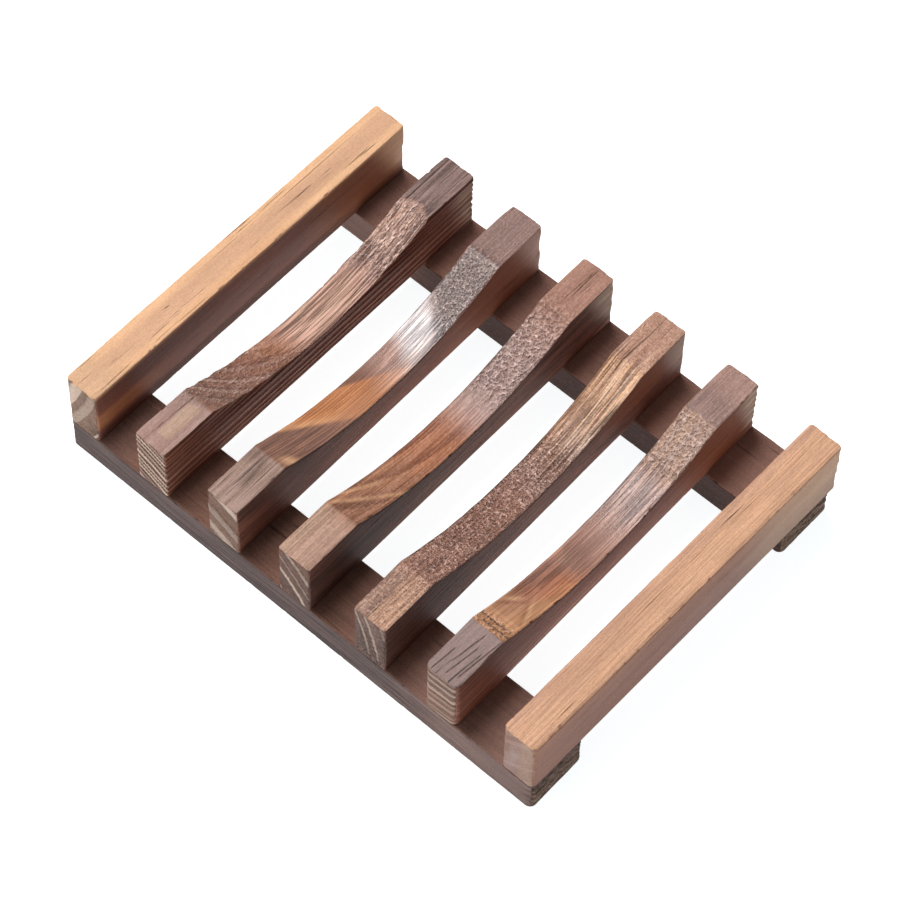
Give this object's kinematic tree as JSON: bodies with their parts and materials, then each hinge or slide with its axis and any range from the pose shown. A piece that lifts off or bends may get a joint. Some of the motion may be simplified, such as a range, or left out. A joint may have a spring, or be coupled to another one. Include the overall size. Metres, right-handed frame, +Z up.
{
  "type": "soap dish",
  "caption": "Slatted wooden soap dish: scooped slats set on edge across flat rails cradle a bar of soap, and water drains through the gaps.",
  "frame": {"origin": "the middle of the footprint, at the height of the surface that the dish stands on", "axes": "+X along the rails, from the left end slat to the right one; +Y along the slats, from the front rail to the back rail; +Z up"},
  "size_m": [0.1207, 0.0892, 0.0235],
  "materials": {
    "tan_wood": "matte",
    "charred_wood": "matte",
    "dark_wood": "matte",
    "brad_steel": "satin"
  },
  "bodies": {
    "root": {"left_end_slat": "tan_wood", "scooped_slat_1": "charred_wood", "scooped_slat_2": "charred_wood", "scooped_slat_3": "charred_wood", "scooped_slat_4": "charred_wood", "scooped_slat_5": "charred_wood", "right_end_slat": "tan_wood", "front_rail": "dark_wood", "back_rail": "dark_wood", "front_rail_brads": "brad_steel", "back_rail_brads": "brad_steel"}
  },
  "joints": []
}
